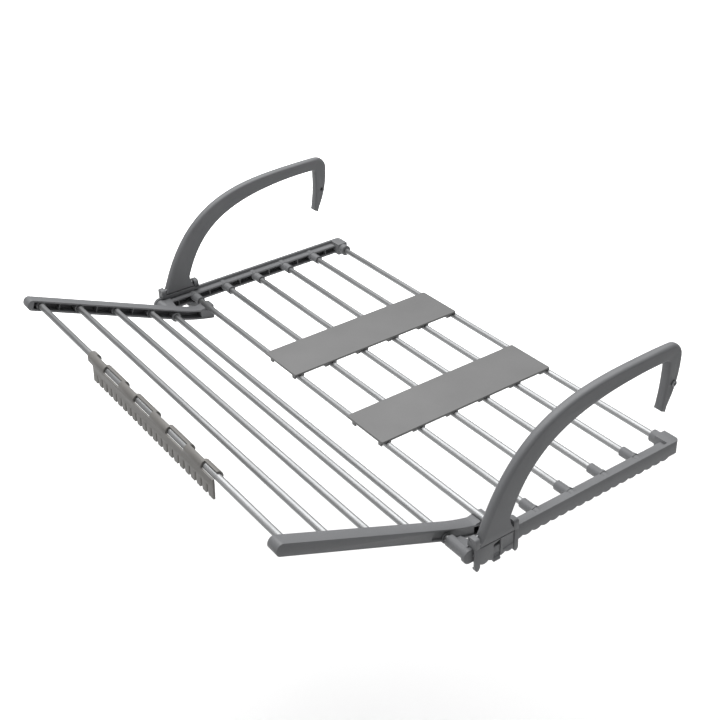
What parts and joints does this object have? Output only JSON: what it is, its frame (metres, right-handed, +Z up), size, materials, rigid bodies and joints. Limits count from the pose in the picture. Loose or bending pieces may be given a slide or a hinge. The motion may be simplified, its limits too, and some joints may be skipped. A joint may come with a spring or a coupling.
{
  "type": "hook-over drying rack",
  "caption": "Hook-over drying rack: tube frame, raised folding front wing, two sliding fold-down hook arms, clip-on shelf plates and a sock comb.",
  "frame": {"origin": "middle of the frame's rear bearing plane, between the two rear end blocks, at the height of the tube axes", "axes": "+X along the tubes to the right-hand rail, +Y to the rear towards the railing, +Z up"},
  "size_m": [0.6936, 0.5074, 0.1685],
  "materials": {
    "moulded_grey": "fine moulded texture, satin",
    "plate_grey": "fine moulded texture, matte",
    "comb_grey": "fine moulded texture, matte, slightly warm",
    "satin_steel": "satin drawn steel"
  },
  "bodies": {
    "frame": {"left_side_rail": "moulded_grey", "right_side_rail": "moulded_grey", "rack_tube_1": "satin_steel", "rack_tube_2": "satin_steel", "rack_tube_3": "satin_steel", "rack_tube_4": "satin_steel", "rack_tube_5": "satin_steel", "rack_tube_6": "satin_steel", "rack_tube_7": "satin_steel"},
    "left_carriage": {"left_carriage": "moulded_grey", "left_arm_pin": "satin_steel", "left_latch_pin": "satin_steel"},
    "left_arm": {"left_hook_arm": "moulded_grey", "left_tip_screw": "satin_steel"},
    "left_latch": {"left_latch_lever": "moulded_grey"},
    "right_carriage": {"right_carriage": "moulded_grey", "right_arm_pin": "satin_steel", "right_latch_pin": "satin_steel"},
    "right_arm": {"right_hook_arm": "moulded_grey", "right_tip_screw": "satin_steel"},
    "right_latch": {"right_latch_lever": "moulded_grey"},
    "wing": {"left_wing_rail": "moulded_grey", "right_wing_rail": "moulded_grey", "wing_tube_1": "satin_steel", "wing_tube_2": "satin_steel", "wing_tube_3": "satin_steel", "wing_tube_4": "satin_steel"},
    "comb": {"sock_comb": "comb_grey"},
    "left_plate": {"left_shelf_plate": "plate_grey"},
    "right_plate": {"right_shelf_plate": "plate_grey"}
  },
  "joints": [
    {"name": "left_carriage_slide", "type": "slide", "parent": "frame", "child": "left_carriage", "axis": [0, 1, 0], "range_m": [0, 0.225]},
    {"name": "left_arm_fold", "type": "hinge", "parent": "left_carriage", "child": "left_arm", "pos_m": [-0.3368, -0.2983, 0.018], "axis": [0, 1, 0], "range_deg": [0, 90]},
    {"name": "left_latch_turn", "type": "hinge", "parent": "left_carriage", "child": "left_latch", "pos_m": [-0.34255, -0.276, -0.001], "axis": [0, 1, 0], "range_deg": [0, 8], "stiffness_Nm_per_rad": 0.05, "springref_deg": -8.59},
    {"name": "right_carriage_slide", "type": "slide", "parent": "frame", "child": "right_carriage", "axis": [0, 1, 0], "range_m": [0, 0.225]},
    {"name": "right_arm_fold", "type": "hinge", "parent": "right_carriage", "child": "right_arm", "pos_m": [0.3368, -0.2983, 0.018], "axis": [0, -1, 0], "range_deg": [0, 90]},
    {"name": "right_latch_turn", "type": "hinge", "parent": "right_carriage", "child": "right_latch", "pos_m": [0.34255, -0.276, -0.001], "axis": [0, -1, 0], "range_deg": [0, 8], "stiffness_Nm_per_rad": 0.05, "springref_deg": -8.59},
    {"name": "wing_fold", "type": "hinge", "parent": "frame", "child": "wing", "pos_m": [0, -0.308, 0], "axis": [1, 0, 0], "range_deg": [-125, 0]},
    {"name": "comb_swing", "type": "hinge", "parent": "wing", "child": "comb", "pos_m": [0, -0.49074, 0.08186], "axis": [1, 0, 0], "range_deg": [-45, 45]},
    {"name": "left_plate_slide", "type": "slide", "parent": "frame", "child": "left_plate", "axis": [1, 0, 0], "range_m": [-0.04, 0.04]},
    {"name": "right_plate_slide", "type": "slide", "parent": "frame", "child": "right_plate", "axis": [1, 0, 0], "range_m": [-0.04, 0.04]}
  ]
}
